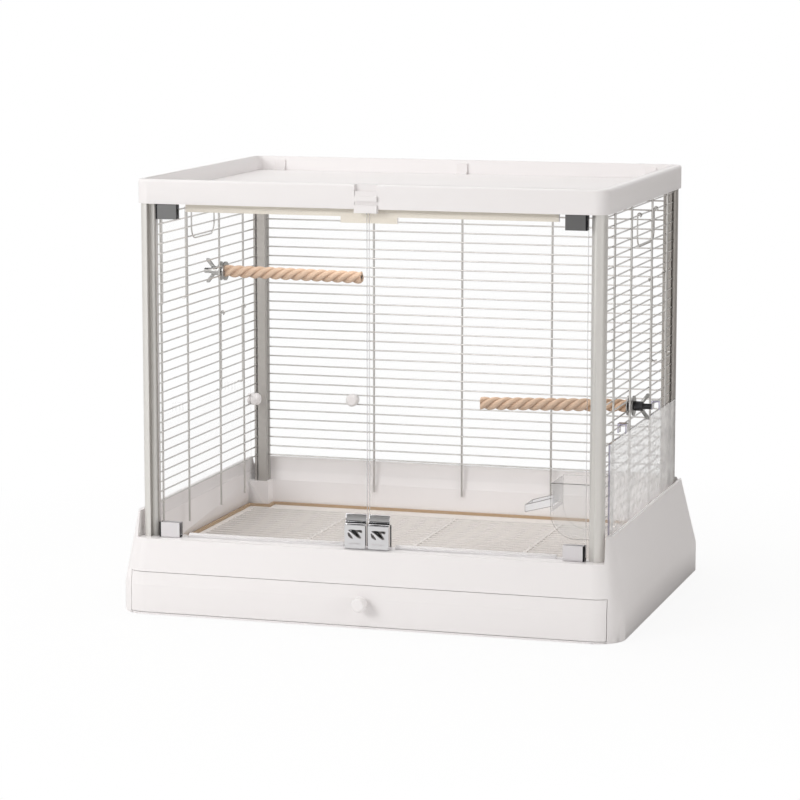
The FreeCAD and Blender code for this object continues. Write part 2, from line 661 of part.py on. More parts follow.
def make_flaps():
    """Wire flaps that hang by rings from a rail, with curled ends below."""
    ring = float(ring_radius)
    curl = float(S.curl_radius)
    for label, (side, near, far, low, hinge) in FLAPS.items():
        height = float(rail_height(hinge))
        foot = float(rail_height(low) - rail_pitch)
        leg_x = side * (float(rail_wall) + ring)
        solids = []
        legs = [float(near + S.flap_margin), float(far - S.flap_margin)]
        for y in legs:
            centre = Vector(side * float(rail_wall), y, height)
            eye = ring_arc(centre, ring, side, float(S.ring_open_degrees), 0)
            leg = Part.LineSegment(Vector(leg_x, y, height), Vector(leg_x, y, foot)).toShape()
            hook = ring_arc(Vector(leg_x + side * curl, y, foot), curl, side, 180,
                            float(S.curl_end_degrees))
            solids.append(bent_wire(rail_radius, [eye, leg, hook]))
        bar_x = leg_x - side * float(S.rail_diameter)
        for row in range(int(float(low)), int(float(hinge))):
            z = float(rail_height(row))
            solids.append(bar(rail_radius, Vector(bar_x, legs[0], z), Vector(bar_x, legs[1], z)))
        group(label, solids)


def make_hangers():
    """Swinging wire hangers inside the side walls, each one wire bent to a U with a ring at both ends."""
    ring = float(ring_radius)
    bend = float(S.hanger_bend)
    spans = ((-1, S.left_hanger_start, S.left_hanger_width), (1, S.right_hanger_start, S.right_hanger_width))
    for side, start, width in spans:
        height = float(rail_height(S.hanger_rows))
        x = side * (float(rail_wall) - ring)
        near = -float(start)
        far = near + float(width)
        foot = height - float(S.hanger_drop)
        eyes = [ring_arc(Vector(side * float(rail_wall), y, height), ring, -side, float(S.ring_open_degrees), 0)
                for y in (near, far)]
        cut_in = bend * (1 - math.sqrt(0.5))
        turn_near = Part.Arc(Vector(x, near, foot + bend), Vector(x, near + cut_in, foot + cut_in),
                             Vector(x, near + bend, foot)).toShape()
        turn_far = Part.Arc(Vector(x, far - bend, foot), Vector(x, far - cut_in, foot + cut_in),
                            Vector(x, far, foot + bend)).toShape()
        runs = [eyes[0],
                Part.LineSegment(Vector(x, near, height), Vector(x, near, foot + bend)).toShape(),
                turn_near,
                Part.LineSegment(Vector(x, near + bend, foot), Vector(x, far - bend, foot)).toShape(),
                turn_far,
                Part.LineSegment(Vector(x, far, foot + bend), Vector(x, far, height)).toShape(),
                eyes[1]]
        group(f"{side_word(side)}_hanger", [bent_wire(rail_radius, runs)])


def make_doors():
    """Frameless clear doors with pivot clips at the outer corners and chrome pulls at the lower inner ones."""
    front = -door_front
    rear = -door_rear
    for side in (-1, 1):
        word = side_word(side)
        free_edge = side * S.door_gap / 2
        outer_edge = side * door_outer
        xs = sorted((free_edge, outer_edge), key=float)
        pane = new_body(f"{word}_door_pane")
        add(pane, "Pad", f"{word}_sheet", "XZ", door_rear,
            rectangle(xs[0], xs[1], door_bottom, door_top, S.door_corner), S.door_thickness)
        pins = []
        screws = []
        clip_xs = sorted((side * clip_outer, side * (clip_outer - S.clip_width)), key=float)
        ends = {"upper": (roof_bottom - S.clip_gap - S.clip_height, roof_bottom - S.clip_gap),
                "lower": (sill_height + S.clip_gap, sill_height + S.clip_gap + S.clip_height)}
        for end, (low, high) in ends.items():
            label = f"{word}_{end}_clip"
            block = box(f"{label}_block", *clip_xs, front - S.clip_plate, rear + S.clip_plate, low, high)
            pane_z = (low - S.overrun, door_top + S.pane_play) if end == "upper" else \
                (door_bottom - S.pane_play, high + S.overrun)
            slot = box(f"{label}_slot", clip_xs[0] - S.overrun, clip_xs[1] + S.overrun, front - S.pane_play,
                       rear + S.pane_play, *pane_z)
            pin_z = (door_top + S.pane_play, roof_bottom + S.pin_reach) if end == "upper" else \
                (sill_height - S.pin_reach, door_bottom - S.pane_play)
            pin_hole = rod(f"{label}_pin_hole", S.pin_radius + S.pin_play, "z", high - low + S.pin_reach, side * pivot,
                           -door_middle, low - S.pin_reach / 2)
            middle = (low + high) / 2
            screw_x = side * (clip_outer - S.clip_width / 2)
            screw_hole = rod(f"{label}_screw_hole", S.set_screw_radius + S.pin_play, "y", S.clip_plate + S.overrun,
                             screw_x, rear + S.pane_play, middle)
            keep(cut(label, block, slot, pin_hole, screw_hole), label)
            pin_length = pin_z[1] - pin_z[0]
            pins.append(rod(f"{label}_pin", S.pin_radius, "z", pin_length, side * pivot, -door_middle, pin_z[0]))
            screws.append(rod(f"{label}_screw", S.set_screw_radius, "y", S.clip_plate, screw_x, rear + S.pane_play,
                              middle))
        bundle(pins, f"{word}_pivot_pins")
        bundle(screws, f"{word}_clip_screws")
        make_pull(side, word, free_edge)


def make_pull(side, word, free_edge):
    """A chrome pull: a U that grips the pane's foot, with a thumb lip above a raised boss."""
    front = -door_front - S.pane_play
    rear = S.pane_play - door_rear
    low = sill_height + S.clip_gap + S.pane_play
    high = low + S.pull_height
    face = front - S.pull_depth + S.boss_depth
    lip_face = front - S.pull_depth
    web = door_bottom - S.pane_play
    label = f"{word}_pull"
    body = new_body(label)
    xs = sorted((free_edge, free_edge + side * S.pull_width), key=float)
    profile = [(face, low), (face, high - 2 * S.pull_lip), (lip_face, high - S.pull_lip - S.pull_lip / 2),
               (lip_face, high - S.pull_lip / 2), (face, high), (front, high), (front, web), (rear, web),
               (rear, high - S.pull_back_rise), (rear + S.clip_plate / 2, high - S.pull_back_rise),
               (rear + S.clip_plate / 2, low)]
    block = add(body, "Pad", f"{label}_block", "YZ", xs[0], [(y, z, ZERO) for y, z in profile], S.pull_width)
    rounded(body, f"{label}_edges", block, S.pull_rounding,
            lambda middle, edge: abs(middle.y - float(face)) < float(S.pane_play)
            and middle.z < float(high - S.pull_lip) and abs(edge.tangentAt(edge.FirstParameter).z) > 0.9)
    margin = S.boss_margin
    add(body, "Pad", f"{label}_boss", "XZ", -face - S.pane_play,
        rectangle(xs[0] + margin, xs[1] - margin, low + margin, high - 3 * S.pull_lip, S.boss_corner),
        S.boss_depth + S.pane_play)


def make_latch():
    """White slide latch in the roof rim, drawn raised so that the doors are free."""
    body = new_body("slide_latch")
    back = S.latch_channel_depth - half_depth - S.latch_play
    plate = back - S.latch_plate
    nose = back - S.latch_block_depth
    low = door_top + S.latch_lift
    thumb_low = low + S.latch_plate_height - S.latch_thumb * 2
    thumb_high = thumb_low + S.latch_thumb
    high = low + S.latch_plate_height
    profile = [(back, low), (back, high), (plate, high), (plate, thumb_high),
               (plate - S.latch_thumb_depth, thumb_high),
               (plate - S.latch_thumb_depth, thumb_low), (plate, thumb_low), (plate, low + S.latch_block),
               (nose, low + S.latch_block), (nose, low)]
    add(body, "Pad", "latch_bar", "YZ", -S.latch_width / 2, [(y, z, ZERO) for y, z in profile], S.latch_width)


def make_drawer():
    """Drawer: a front that carries on the base's outer form, a deep tray, a turned knob and its screw."""
    form = doc.addObject("PartDesign::Body", "drawer_form")
    base_form(form)
    gap = S.drawer_gap
    half = drawer_width / 2 - gap
    back = S.drawer_front_thickness - base_front
    low = S.drawer_bottom + gap
    window = box("drawer_window", -half, half, -base_front - S.overrun, back, low,
                 S.drawer_bottom + S.drawer_height - gap)
    face = doc.addObject("Part::Common", "drawer_face")
    face.Base = form
    face.Tool = window
    hole = rod("drawer_front_hole", S.knob_screw_radius + S.small_gap, "y",
               S.drawer_front_thickness + S.overrun, ZERO, -base_front - S.overrun / 2, knob_height)
    sink = rod("drawer_front_sink", S.knob_screw_head + S.small_gap, "y", S.knob_head_height + S.overrun, ZERO,
               back - S.knob_head_height, knob_height)
    keep(cut("drawer_front", face, hole, sink), "drawer_front")
    tray = new_body("drawer_tray")
    half_tray = tray_width / 2
    wall = S.drawer_wall
    tray_low = S.drawer_bottom + S.small_gap
    add(tray, "Pad", "tray_block", "XY", tray_low, rectangle(-half_tray, half_tray, back, tray_back), S.tray_height)
    add(tray, "Pocket", "tray_room", "XY", tray_low + S.tray_height,
        rectangle(wall - half_tray, half_tray - wall, back + wall, tray_back - wall), S.tray_height - wall)
    bore = S.knob_screw_radius + S.small_gap
    knob_edge = S.knob_foot / 2
    knob = turned("drawer_knob", [(bore, ZERO), (S.knob_neck, ZERO), (S.knob_neck, S.knob_foot),
                                  (S.knob_radius, S.knob_foot + knob_edge),
                                  (S.knob_radius, S.knob_length - knob_edge),
                                  (S.knob_radius - knob_edge, S.knob_length), (ZERO, S.knob_length),
                                  (ZERO, S.knob_screw_reach), (bore, S.knob_screw_reach)])
    lay(knob, (0, -1, 0), ZERO, -base_front, knob_height)
    tip = S.small_gap - base_front - S.knob_screw_reach
    shank = rod("knob_shank", S.knob_screw_radius, "y", back - S.knob_head_height - tip, ZERO, tip, knob_height)
    head = rod("knob_head", S.knob_screw_head, "y", S.knob_head_height, ZERO, back - S.knob_head_height, knob_height)
    keep(fuse("knob_screw", shank, head), "knob_screw")


def flat(points, height, thickness, holes=()):
    """A flat plate of even thickness with rectangular holes, as one holed face pushed up."""
    def loop(spots):
        corners = [Vector(float(x), float(y), float(height)) for x, y in spots]
        return Part.makePolygon(corners + corners[:1])
    face = Part.makeFace([loop(points)] + [loop(hole) for hole in holes], "Part::FaceMakerBullseye")
    return face.extrude(Vector(0, 0, float(thickness)))


def make_floor():
    """Slatted floor grate on a ledge frame in the base, with a tan edging strip round it."""
    group("floor_ledge", [flat(floor_outline(S.small_gap), floor_level - S.ledge_thickness, S.ledge_thickness,
                               [floor_outline(S.floor_ledge)])])
    strip = S.edging_width + S.small_gap
    group("floor_edging", [flat(floor_outline(S.small_gap), floor_level, S.edging_height, [floor_outline(strip)])])
    inset = strip + S.small_gap
    rim = inset + 2 * S.grate_bar
    wide = float(half_cabin - rim)
    front = -float(cabin_front - rim)
    depth = float(seat_rear - rim) - front
    rows = round((depth + float(S.grate_bar)) / float(S.grate_pitch))
    columns = int(float(S.grate_columns))
    pitch = (depth + float(S.grate_bar)) / rows
    step = (2 * wide + float(S.grate_bar)) / columns
    slots = []
    for row in range(rows):
        for column in range(columns):
            x0 = -wide + column * step
            y0 = front + row * pitch
            x1 = x0 + step - float(S.grate_bar)
            y1 = y0 + pitch - float(S.grate_bar)
            slots.append([(x0, y0), (x1, y0), (x1, y1), (x0, y1)])
    group("floor_grate", [flat(floor_outline(inset), floor_level, S.grate_thickness, slots)])


def make_perches():
    """Rope perches: a rope on a threaded rod, clamped to the wire wall by two washers and a wing nut."""
    left_place = (-1, side_inner + S.left_perch_offset, S.left_perch_rows + S.left_perch_share)
    right_place = (1, S.right_perch_offset - side_inner, S.right_perch_rows + S.right_perch_share)
    for side, y, row in (left_place, right_place):
        word = side_word(side)
        z = rail_height(row)
        inner_face = rail_wall - rail_radius
        rope_end = inner_face - S.washer_thickness
        outer_face = upright_wall + upright_radius
        nut_face = outer_face + S.washer_thickness
        rod_radius = S.rod_diameter / 2

        def along(first, last):
            near, far = sorted((side * first, side * last), key=float)
            return near, far - near

        start, length = along(rope_end, rope_end - S.rope_length)
        rope = rod(f"{word}_rope_round", S.rope_diameter / 2, "x", length, start, y, z)
        start, length = along(rope_end + S.overrun, rope_end - S.rod_bite - S.small_gap)
        bore = rod(f"{word}_rope_bore", rod_radius + S.pin_play, "x", length, start, y, z)
        keep(cut(f"{word}_perch_rope", rope, bore), f"{word}_perch_rope")
        start, length = along(rope_end - S.rod_bite, nut_face + S.rod_tail)
        keep(rod(f"{word}_perch_rod", rod_radius, "x", length, start, y, z), f"{word}_perch_rod")
        for place_word, face in (("inner", rope_end), ("outer", outer_face)):
            start, length = along(face, face + S.washer_thickness)
            tube(f"{word}_{place_word}_washer", S.washer_diameter / 2, rod_radius + S.nut_bore_play, "x", length,
                 start, y, z)
        start, length = along(nut_face + S.small_gap, nut_face + S.small_gap + S.nut_length)
        hub = rod(f"{word}_nut_hub", S.nut_hub / 2, "x", length, start, y, z)
        root = S.nut_hub / 4
        tip = S.wing_span / 2
        nut_end = nut_face + S.nut_length
        wings = []
        for way in (-1, 1):
            profile = [(nut_face + S.nut_length / 2, root), (nut_end + S.wing_lean, tip),
                       (nut_end + S.wing_rise, tip), (nut_end + S.wing_rise, tip - root), (nut_end, root)]
            corners = [Vector(float(side * x), float(y - S.wing_thickness / 2), float(z + way * rise))
                       for x, rise in profile]
            wing = doc.addObject("Part::Feature", f"{word}_wing_{len(wings)}")
            leaf = Part.Face(Part.makePolygon(corners + corners[:1]))
            wing.Shape = leaf.extrude(Vector(0, float(S.wing_thickness), 0))
            wings.append(wing)
        bore_start, bore_length = along(nut_face - S.overrun, nut_face + S.nut_length + S.wing_rise + S.overrun)
        bore = rod(f"{word}_nut_bore", rod_radius + S.nut_bore_play, "x", bore_length, bore_start, y, z)
        keep(cut(f"{word}_wing_nut", fuse(f"{word}_nut_solid", hub, *wings), bore), f"{word}_wing_nut")


def hook(name, sheet_face, tongue_face, y, width, foot, rail_row, way):
    """A flat hook that rises from a hung piece, crosses over a rail and drops a tongue behind it."""
    under = rail_height(rail_row) + rail_radius + S.small_gap
    top = under + S.hook_thickness
    y0 = y - width / 2
    y1 = y + width / 2
    near = sorted((sheet_face, sheet_face + way * S.hook_thickness), key=float)
    far = sorted((tongue_face, tongue_face - way * S.hook_thickness), key=float)
    across = sorted((sheet_face, tongue_face), key=float)
    return [box(f"{name}_stem", *near, y0, y1, foot, top), box(f"{name}_bridge", *across, y0, y1, under, top),
            box(f"{name}_tongue", *far, y0, y1, under - S.hook_drop, top)]


def make_guards():
    """Clear splash guards, hung by hooks outside the side walls, with their feet inside the collar."""
    half = post_rear - S.guard_end_gap
    top = rail_height(S.guard_hook_rows) - S.guard_hook_rise
    for side in (-1, 1):
        word = side_word(side)
        inner = post_outer + S.guard_gap
        xs = sorted((side * inner, side * (inner + S.guard_thickness)), key=float)
        pieces = [box(f"{word}_guard_sheet", *xs, -half, half, collar_height - S.guard_dip, top)]
        for way in (-1, 1):
            tongue = side * (rail_wall - rail_radius - S.small_gap - S.hook_thickness)
            pieces += hook(f"{word}_guard_hook_{way + 1}", side * (inner + S.guard_thickness), tongue,
                           way * S.guard_hook_spread, S.guard_hook_width, top - S.overrun, S.guard_hook_rows, -side)
        keep(fuse(f"{word}_splash_guard", *pieces), f"{word}_splash_guard")


def make_cup():
    """Clear seed cup with a curved foot and a feeding lip, hung inside the right wall."""
    back = rail_wall - rail_radius - S.small_gap
    front = back - S.cup_reach
    wall = S.cup_wall
    top = rail_height(S.cup_hook_rows) - S.cup_hang
    bottom = top - S.cup_height
    knee = top - S.cup_upper
    mouth = top + S.overrun
    near = post_rear - S.cup_post_gap
    body = doc.addObject("PartDesign::Body", "cup_body")
    outside = [(front, top, ZERO), (front, bottom, S.cup_bend), (back, bottom, ZERO), (back, top, ZERO)]
    add(body, "Pad", "cup_block", "XZ", near - S.cup_length, outside, S.cup_length)
    inside = [(front + wall, mouth, ZERO), (front + wall, bottom + wall, S.cup_bend - wall),
              (back - wall, bottom + wall, ZERO), (back - wall, mouth, ZERO)]
    add(body, "Pocket", "cup_room", "XZ", near - wall, inside, S.cup_length - 2 * wall)
    tip = front - S.cup_lip_reach
    lip_near = near - S.cup_length / 2 + S.cup_lip_width / 2
    lip_end = front + wall / 2
    lip = [(tip, knee - S.cup_lip_drop), (lip_end, knee), (lip_end, knee + S.cup_lip_height), (tip, knee)]
    add(body, "Pad", "lip_block", "XZ", lip_near - S.cup_lip_width, [(x, z, ZERO) for x, z in lip], S.cup_lip_width)
    trough = [(tip + wall, knee - S.cup_lip_drop + wall), (front, knee + wall),
              (front, knee + S.cup_lip_height + S.overrun), (tip + wall, knee + S.overrun)]
    add(body, "Pocket", "lip_room", "XZ", lip_near - wall, [(x, z, ZERO) for x, z in trough],
        S.cup_lip_width - 2 * wall)
    pieces = [body]
    tongue = rail_wall + rail_radius + S.small_gap + S.hook_thickness
    for index, inset in enumerate((S.cup_hook_inset, S.cup_length - S.cup_hook_inset)):
        pieces += hook(f"cup_hook_{index}", back, tongue, inset - near, S.cup_hook_width, top - S.overrun,
                       S.cup_hook_rows, -1)
    keep(fuse("seed_cup", *pieces), "seed_cup")


def make_plugs():
    """White press knobs through the wire walls, with a domed knob inside and a flat cap outside."""
    span = S.rail_diameter
    neck = S.plug_neck
    profile = [(ZERO, -S.plug_cap), (S.plug_cap_radius, -S.plug_cap), (S.plug_cap_radius, ZERO), (neck, ZERO),
               (neck, span), (S.plug_radius, span), (S.plug_radius, span + S.plug_length * S.plug_crown_share),
               (S.plug_radius * S.plug_crown_share, span + S.plug_length), (ZERO, span + S.plug_length)]
    height = rail_height(S.plug_rows + S.mid_row_share)
    side_plug = turned("side_plug", profile)
    lay(side_plug, (1, 0, 0), -rail_wall - rail_radius, post_rear - S.plug_post_gap, height)
    back_plug = turned("back_plug", profile)
    lay(back_plug, (0, -1, 0), -back_spread - S.plug_bay, rail_back + rail_radius, height)


make_base()
make_roof()
make_posts()
make_wire_walls()
make_flaps()
make_hangers()
make_doors()
make_latch()
make_drawer()
make_floor()
make_perches()
make_guards()
make_cup()
make_plugs()
doc.recompute()

broken = [thing.Name for thing in doc.Objects if any(word in ("Invalid", "Error") for word in thing.State)]
broken += [thing.Label for thing in parts if thing.Shape.isNull() or not thing.Shape.isValid()]
if broken:
    raise RuntimeError(f"these objects failed: {broken}")
os.makedirs("parts", exist_ok=True)
for thing in parts:
    thing.Shape.exportStep(f"parts/{thing.Label}.step")
    print(f"{thing.Label}: {len(thing.Shape.Solids)} solids, {thing.Shape.Volume / 1000:.2f} cm3")
print(len(parts), "parts")
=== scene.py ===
import json
import math

import bmesh
import bpy
from mathutils import Matrix, Vector


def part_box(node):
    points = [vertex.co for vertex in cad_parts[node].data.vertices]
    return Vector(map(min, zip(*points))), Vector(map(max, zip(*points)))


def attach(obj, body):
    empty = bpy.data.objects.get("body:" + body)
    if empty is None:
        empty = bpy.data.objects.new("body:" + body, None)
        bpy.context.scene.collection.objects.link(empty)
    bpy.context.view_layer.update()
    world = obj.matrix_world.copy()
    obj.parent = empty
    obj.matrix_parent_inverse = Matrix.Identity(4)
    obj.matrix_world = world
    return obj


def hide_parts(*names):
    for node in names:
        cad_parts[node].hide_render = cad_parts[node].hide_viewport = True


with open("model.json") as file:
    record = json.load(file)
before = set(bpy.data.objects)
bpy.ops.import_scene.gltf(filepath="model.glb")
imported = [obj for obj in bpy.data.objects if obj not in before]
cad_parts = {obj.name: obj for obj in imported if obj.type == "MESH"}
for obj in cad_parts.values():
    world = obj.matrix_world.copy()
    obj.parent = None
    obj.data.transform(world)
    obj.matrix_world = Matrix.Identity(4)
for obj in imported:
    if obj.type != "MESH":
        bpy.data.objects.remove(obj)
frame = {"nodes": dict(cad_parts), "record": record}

MM = 0.001
SIDES = ("left", "right")

# What counts as one place, as touching, as looking along an axis, and as sharp or flat, in radians
MERGE = 0.001 * MM
TOUCH = 0.01 * MM
FACING = 0.9
SHARP = 1
FLAT = math.radians(1)

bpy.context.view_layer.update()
nodes = frame["nodes"]
slot_of = {row["node"]: row["material_slot"] for row in frame["record"]["subparts"]}
body_of = {name: body for body, names in frame["record"]["behaviour"]["bodies"].items() for name in names}


# Finishes
def linear(code):
    """A six-digit sRGB colour as linear red, green, blue and full alpha."""
    channels = [int(code[place:place + 2], 16) / 255 for place in (1, 3, 5)]
    return [c / 12.92 if c <= 0.04045 else ((c + 0.055) / 1.055) ** 2.4 for c in channels] + [1]


def node(material, kind, settings=None, links=None, **sockets):
    """Adds a shader node: its settings by name, its sockets' values, and links as socket: (node, output)."""
    tree = material.node_tree
    made = tree.nodes.new(kind)
    for name, value in (settings or {}).items():
        setattr(made, name, value)
    for name, value in sockets.items():
        made.inputs[name.replace("_", " ")].default_value = value
    for name, (source, output) in (links or {}).items():
        tree.links.new(source.outputs[output], made.inputs[name])
    return made


def finish(name, colour, roughness, metallic=0, **sockets):
    """A new material with its main shader, linked to the output."""
    material = bpy.data.materials.new(name)
    material.use_nodes = True
    material.node_tree.nodes.clear()
    shader = node(material, "ShaderNodeBsdfPrincipled", Base_Color=linear(colour), Roughness=roughness,
                  Metallic=metallic, **sockets)
    node(material, "ShaderNodeOutputMaterial", links={"Surface": (shader, "BSDF")})
    return material, shader


def link(material, source, output, target, socket):
    """Joins a node's output to another node's socket."""
    material.node_tree.links.new(source.outputs[output], target.inputs[socket])


def grain(material, shader, grit, strength, depth):
    """Unevenness of a surface, as a bump, with its grit and depth in millimetres.

    Fine grit, such as a moulded or cast skin's, is drawn coarser than it is, so that it shows.
    """
    place = node(material, "ShaderNodeTexCoord")
    noise = node(material, "ShaderNodeTexNoise", links={"Vector": (place, "Object")},
                 Scale=1 / (grit * MM), Detail=2)
    bump = node(material, "ShaderNodeBump", links={"Height": (noise, "Fac")}, Strength=strength,
                Distance=depth * MM)
    link(material, bump, "Normal", shader, "Normal")
    return noise


def moulded_abs(name, colour):
    """Moulded ABS: a warm white or cream with a soft sheen and an almost even skin."""
    material, shader = finish(name, colour, roughness=0.38, Specular_IOR_Level=0.4)
    grain(material, shader, grit=1.5, strength=0.1, depth=0.05)
    return material


def roof_styrene():
    """Thin moulded white polystyrene: daylight soaks through it and glows on its underside."""
    material, shader = finish("moulded_white_polystyrene", "#EDE9E9", roughness=0.4, Specular_IOR_Level=0.4,
                              Subsurface_Weight=1, Subsurface_Radius=(1, 1, 1), Subsurface_Scale=8 * MM)
    grain(material, shader, grit=1.5, strength=0.1, depth=0.05)
    return material


def grate_plastic():
    """Moulded light grey polypropylene: duller and a little waxy beside the white shell."""
    material, shader = finish("moulded_grey_polypropylene", "#EEE9E5", roughness=0.5, Specular_IOR_Level=0.3)
    grain(material, shader, grit=1.5, strength=0.1, depth=0.05)
    return material


def edging_plastic():
    """A dull warm tan strip round the floor: painted shade, in the colour of the shadowed gap where the floor
    meets the walls.
    """
    material, shader = finish("tan_painted_gap_shade", "#B39673", roughness=0.55, Specular_IOR_Level=0.3)
    grain(material, shader, grit=2, strength=0.1, depth=0.05)
    return material


def post_aluminium(name, colour):
    """Matt anodised aluminium: a pale metal whose clouded skin shades softly round the corner."""
    material, shader = finish(name, colour, roughness=0.42, metallic=0.3)
    grain(material, shader, grit=0.8, strength=0.15, depth=0.03)
    return material


def cage_wire():
    """Nickel-plated steel wire: grey metal, bright where it faces the lamps."""
    material, shader = finish("nickel_plated_wire", "#CBC9C6", roughness=0.35, metallic=1)
    grain(material, shader, grit=1, strength=0.1, depth=0.02)
    return material


def clear_plastic(name, colour, veil):
    """Polished clear plastic: its faces carry a faint veil of light, and its edges gather more of it."""
    material, shader = finish(name, colour, roughness=0.06, Specular_IOR_Level=0.5, Alpha=veil)
    grain(material, shader, grit=8, strength=0.05, depth=0.02)
    return material


def satin_metal(name, colour):
    """Satin metal, cast or darkened: dull, with soft highlights."""
    material, shader = finish(name, colour, roughness=0.4, metallic=1)
    grain(material, shader, grit=0.6, strength=0.15, depth=0.03)
    return material


def pull_chrome():
    """Bright chrome plate: a mirror of the room, with dark and light bands on its bends."""
    material, shader = finish("bright_chrome_plate", "#D8D8DA", roughness=0.08, metallic=1)
    grain(material, shader, grit=3, strength=0.1, depth=0.02)
    return material


def fastener_steel():
    """Zinc-plated steel: grey metal with a slightly uneven shine."""
    material, shader = finish("zinc_plated_steel", "#A9A8A6", roughness=0.35, metallic=1)
    grain(material, shader, grit=0.8, strength=0.15, depth=0.03)
    return material


# Jute fibres are finer than this, and are drawn as coarse as they need to show
JUTE_FIBRE = 0.9 * MM
JUTE_RELIEF = 0.5 * MM
FIBRE_STRETCH_SHARE = 0.12


def perch_rope():
    """Twisted jute: dull tan fibres that run along each strand, darker down in the grooves."""
    material, shader = finish("twisted_jute", "#DDBB98", roughness=0.9, Specular_IOR_Level=0.15)
    lie = node(material, "ShaderNodeAttribute", {"attribute_name": "strand"})
    along = node(material, "ShaderNodeVectorMath", {"operation": "MULTIPLY"}, {0: (lie, "Vector")})
    along.inputs[1].default_value = (FIBRE_STRETCH_SHARE, 1, 1)
    fibre = node(material, "ShaderNodeTexNoise", links={"Vector": (along, "Vector")}, Scale=1 / JUTE_FIBRE,
                 Detail=3)
    depth = node(material, "ShaderNodeAttribute", {"attribute_name": "groove"})
    shade = node(material, "ShaderNodeMapRange", links={"Value": (depth, "Fac")}, From_Min=0.6, From_Max=0.95)
    tone = node(material, "ShaderNodeMix", {"data_type": "RGBA"}, {"Factor": (shade, "Result")})
    tone.inputs["A"].default_value = linear("#AE8B6F")
    tone.inputs["B"].default_value = linear("#D8BAA0")
    streak = node(material, "ShaderNodeMapRange", links={"Value": (fibre, "Fac")}, From_Min=0.3, From_Max=0.7,
                  To_Min=0.82, To_Max=1.08)
    colour = node(material, "ShaderNodeVectorMath", {"operation": "SCALE"},
                  {0: (tone, "Result"), "Scale": (streak, "Result")})
    link(material, colour, "Vector", shader, "Base Color")
    bump = node(material, "ShaderNodeBump", links={"Height": (fibre, "Fac")}, Strength=0.7,
                Distance=JUTE_RELIEF)
    link(material, bump, "Normal", shader, "Normal")
    return material


def hazy_styrene():
    """Moulded clear polystyrene with a milky, mottled haze: light from behind it glows through."""
    material, shader = finish("hazy_clear_polystyrene", "#FFFEFF", roughness=0.2, Alpha=0.5,
                              Subsurface_Weight=1, Subsurface_Radius=(1, 1, 1), Subsurface_Scale=10 * MM)
    mottle = grain(material, shader, grit=16, strength=0.1, depth=0.05)
    veil = node(material, "ShaderNodeMapRange", links={"Value": (mottle, "Fac")}, From_Min=0.3, From_Max=0.7,
                To_Min=0.34, To_Max=0.5)
    link(material, veil, "Result", shader, "Alpha")
    return material


materials = {
    "white_plastic": moulded_abs("moulded_white_abs", "#F5F2F2"),
    "grate_plastic": grate_plastic(),
    "edging_plastic": edging_plastic(),
    "post_aluminium": post_aluminium("anodised_aluminium", "#DCDAD6"),
    "cage_wire": cage_wire(),
    "clear_acrylic": clear_plastic("polished_clear_acrylic", "#FFFFFF", veil=0.03),
    "clip_metal": satin_metal("satin_zinc_casting", "#E6E3E5"),
    "pull_chrome": pull_chrome(),
    "perch_rope": perch_rope(),
    "fastener_steel": fastener_steel(),
}
# Roof panel: thin and glowing from below
roof_skin = roof_styrene()
# Header strip: the white ABS painted cream, yellower than the rim round it, as painted shade where it stands
# back behind the doors
header_painted_shade_abs = moulded_abs("moulded_abs_painted_header_shade", "#ECE5D8")
# Posts that stand in shade: the same matt skin, painted greyer as painted shade
shaded_post = post_aluminium("anodised_aluminium_painted_shade", "#ADA9A4")
# Upper clips: the same zinc casting painted dark grey below the white rim, a painted dark reflection
upper_clip_painted_reflection = satin_metal("zinc_casting_painted_dark_reflection", "#7A7A7A")
# Clip ends: almost black, so that each clip reads as a block: a dark pad on each clip's outer end, and a
# painted dark reflection on its right-facing end faces
clip_pad_and_reflection = satin_metal("dark_pad_and_painted_reflection", "#2B2B2D")
# Right rod and nut hub: the same steel as the left ones, painted dark between the bright wings as a painted
# dark reflection
right_steel_painted_dark = satin_metal("steel_painted_dark_reflection", "#4C4C4E")
# Right splash guard: a milky sheet
guard_haze = hazy_styrene()
# Door edges: a pale line down each clear pane, a painted highlight where the polished edge catches the light
acrylic_edge = clear_plastic("acrylic_edge_painted_highlight", "#D9D9DC", veil=0.55)
# Right guard's front edge: a violet line, a painted reflection
violet_edge = clear_plastic("acrylic_edge_painted_violet_reflection", "#A9A3BE", veil=0.7)
# Left guard's edges: a faint painted highlight, almost lost against the white
faint_edge = clear_plastic("acrylic_edge_faint_painted_highlight", "#F4F4F6", veil=0.15)
# Seed cup's walls: clear, a touch grey
cup_wall = clear_plastic("moulded_clear_styrene", "#EDECEA", veil=0.1)
# Seed cup's near edges and the right guard's other edges: dark lines that draw the outline, a painted dark
# reflection
cup_edge = clear_plastic("styrene_edge_painted_dark_reflection", "#74726E", veil=0.82)
# Seed cup's feeding lip: white with haze
cup_haze = clear_plastic("hazy_styrene_lip", "#F4F3F5", veil=0.62)
# Seed cup's far edges: thin grey lines, a painted reflection
cup_faint = clear_plastic("styrene_edge_painted_grey_reflection", "#C9C8C6", veil=0.3)


def paint(thing, material):
    """Gives an object one finish in place of what it had."""
    thing.data.materials.clear()
    thing.data.materials.append(material)


for name, thing in nodes.items():
    paint(thing, materials[slot_of[name]])
paint(nodes["roof_panel"], roof_skin)


# Shaping and placing of pieces
def set_up(name, mesh, *finishes):
    """A new object in the scene from a finished mesh, with its finishes."""
    data = bpy.data.meshes.new(name)
    mesh.to_mesh(data)
    mesh.free()
    thing = bpy.data.objects.new(name, data)
    bpy.context.scene.collection.objects.link(thing)
    for material in finishes:
        data.materials.append(material)
    return thing


def piece(name, mesh, finishes, body, slot, *replaced):
    """A finished visual piece that rides on a body and stands for CAD nodes."""
    bmesh.ops.recalc_face_normals(mesh, faces=mesh.faces)
    thing = set_up(name, mesh, *finishes)
    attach(thing, body)
    if replaced:
        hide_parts(*replaced)
    return thing


